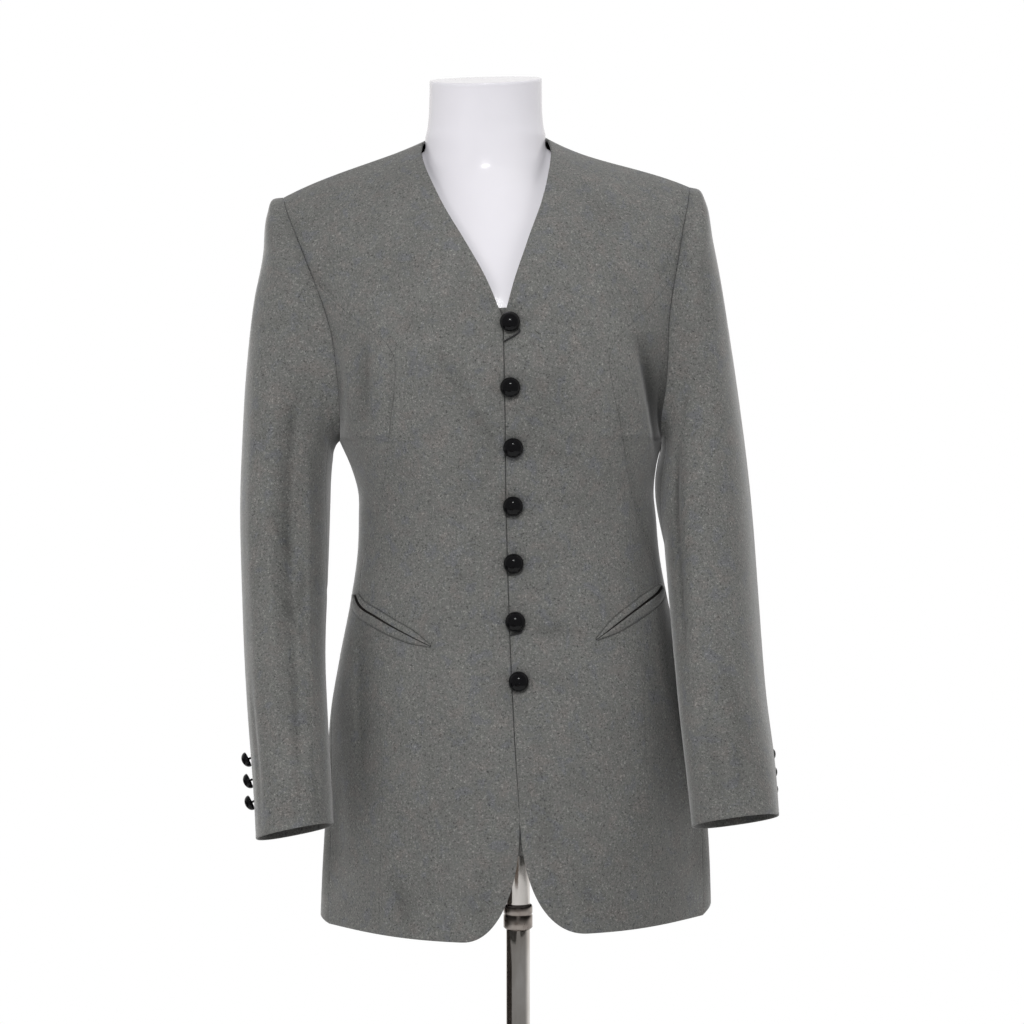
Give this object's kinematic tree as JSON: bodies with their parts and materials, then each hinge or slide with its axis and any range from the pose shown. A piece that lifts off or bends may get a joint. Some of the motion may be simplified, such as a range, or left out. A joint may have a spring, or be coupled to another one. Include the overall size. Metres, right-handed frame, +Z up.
{
  "type": "blazer on a dress form",
  "caption": "Long collarless single-breasted blazer with V neck, domed buttons and loops, slanted jetted pockets and two-piece sleeves, worn by a limbless dress form on a pole and round base.",
  "frame": {"origin": "centre of the round base's underside, on the floor", "axes": "+Z up the pole; the blazer's front faces -Y; the wearer's left is at +X"},
  "size_m": [0.5114, 0.34, 1.4559],
  "materials": {
    "wool": "melange wool cloth",
    "button": "polished black",
    "cord": "black cord",
    "form": "glossy white",
    "chrome": "polished",
    "base": "brushed"
  },
  "bodies": {
    "root": {"back_left": "wool", "back_right": "wool", "button_loop_1": "cord", "button_loop_2": "cord", "button_loop_3": "cord", "button_loop_4": "cord", "button_loop_5": "cord", "button_loop_6": "cord", "button_loop_7": "cord", "cuff_button_left_1": "button", "cuff_button_left_2": "button", "cuff_button_left_3": "button", "cuff_button_right_1": "button", "cuff_button_right_2": "button", "cuff_button_right_3": "button", "form_torso": "form", "front_button_1": "button", "front_button_2": "button", "front_button_3": "button", "front_button_4": "button", "front_button_5": "button", "front_button_6": "button", "front_button_7": "button", "front_left": "wool", "front_right": "wool", "pocket_lower_jet_left": "wool", "pocket_lower_jet_right": "wool", "pocket_upper_jet_left": "wool", "pocket_upper_jet_right": "wool", "pole_collar": "chrome", "pole_lower": "chrome", "pole_upper": "chrome", "side_front_left": "wool", "side_front_right": "wool", "sleeve_top_left": "wool", "sleeve_top_right": "wool", "sleeve_under_left": "wool", "sleeve_under_right": "wool", "stand_base": "base", "underlap": "wool"}
  },
  "joints": []
}
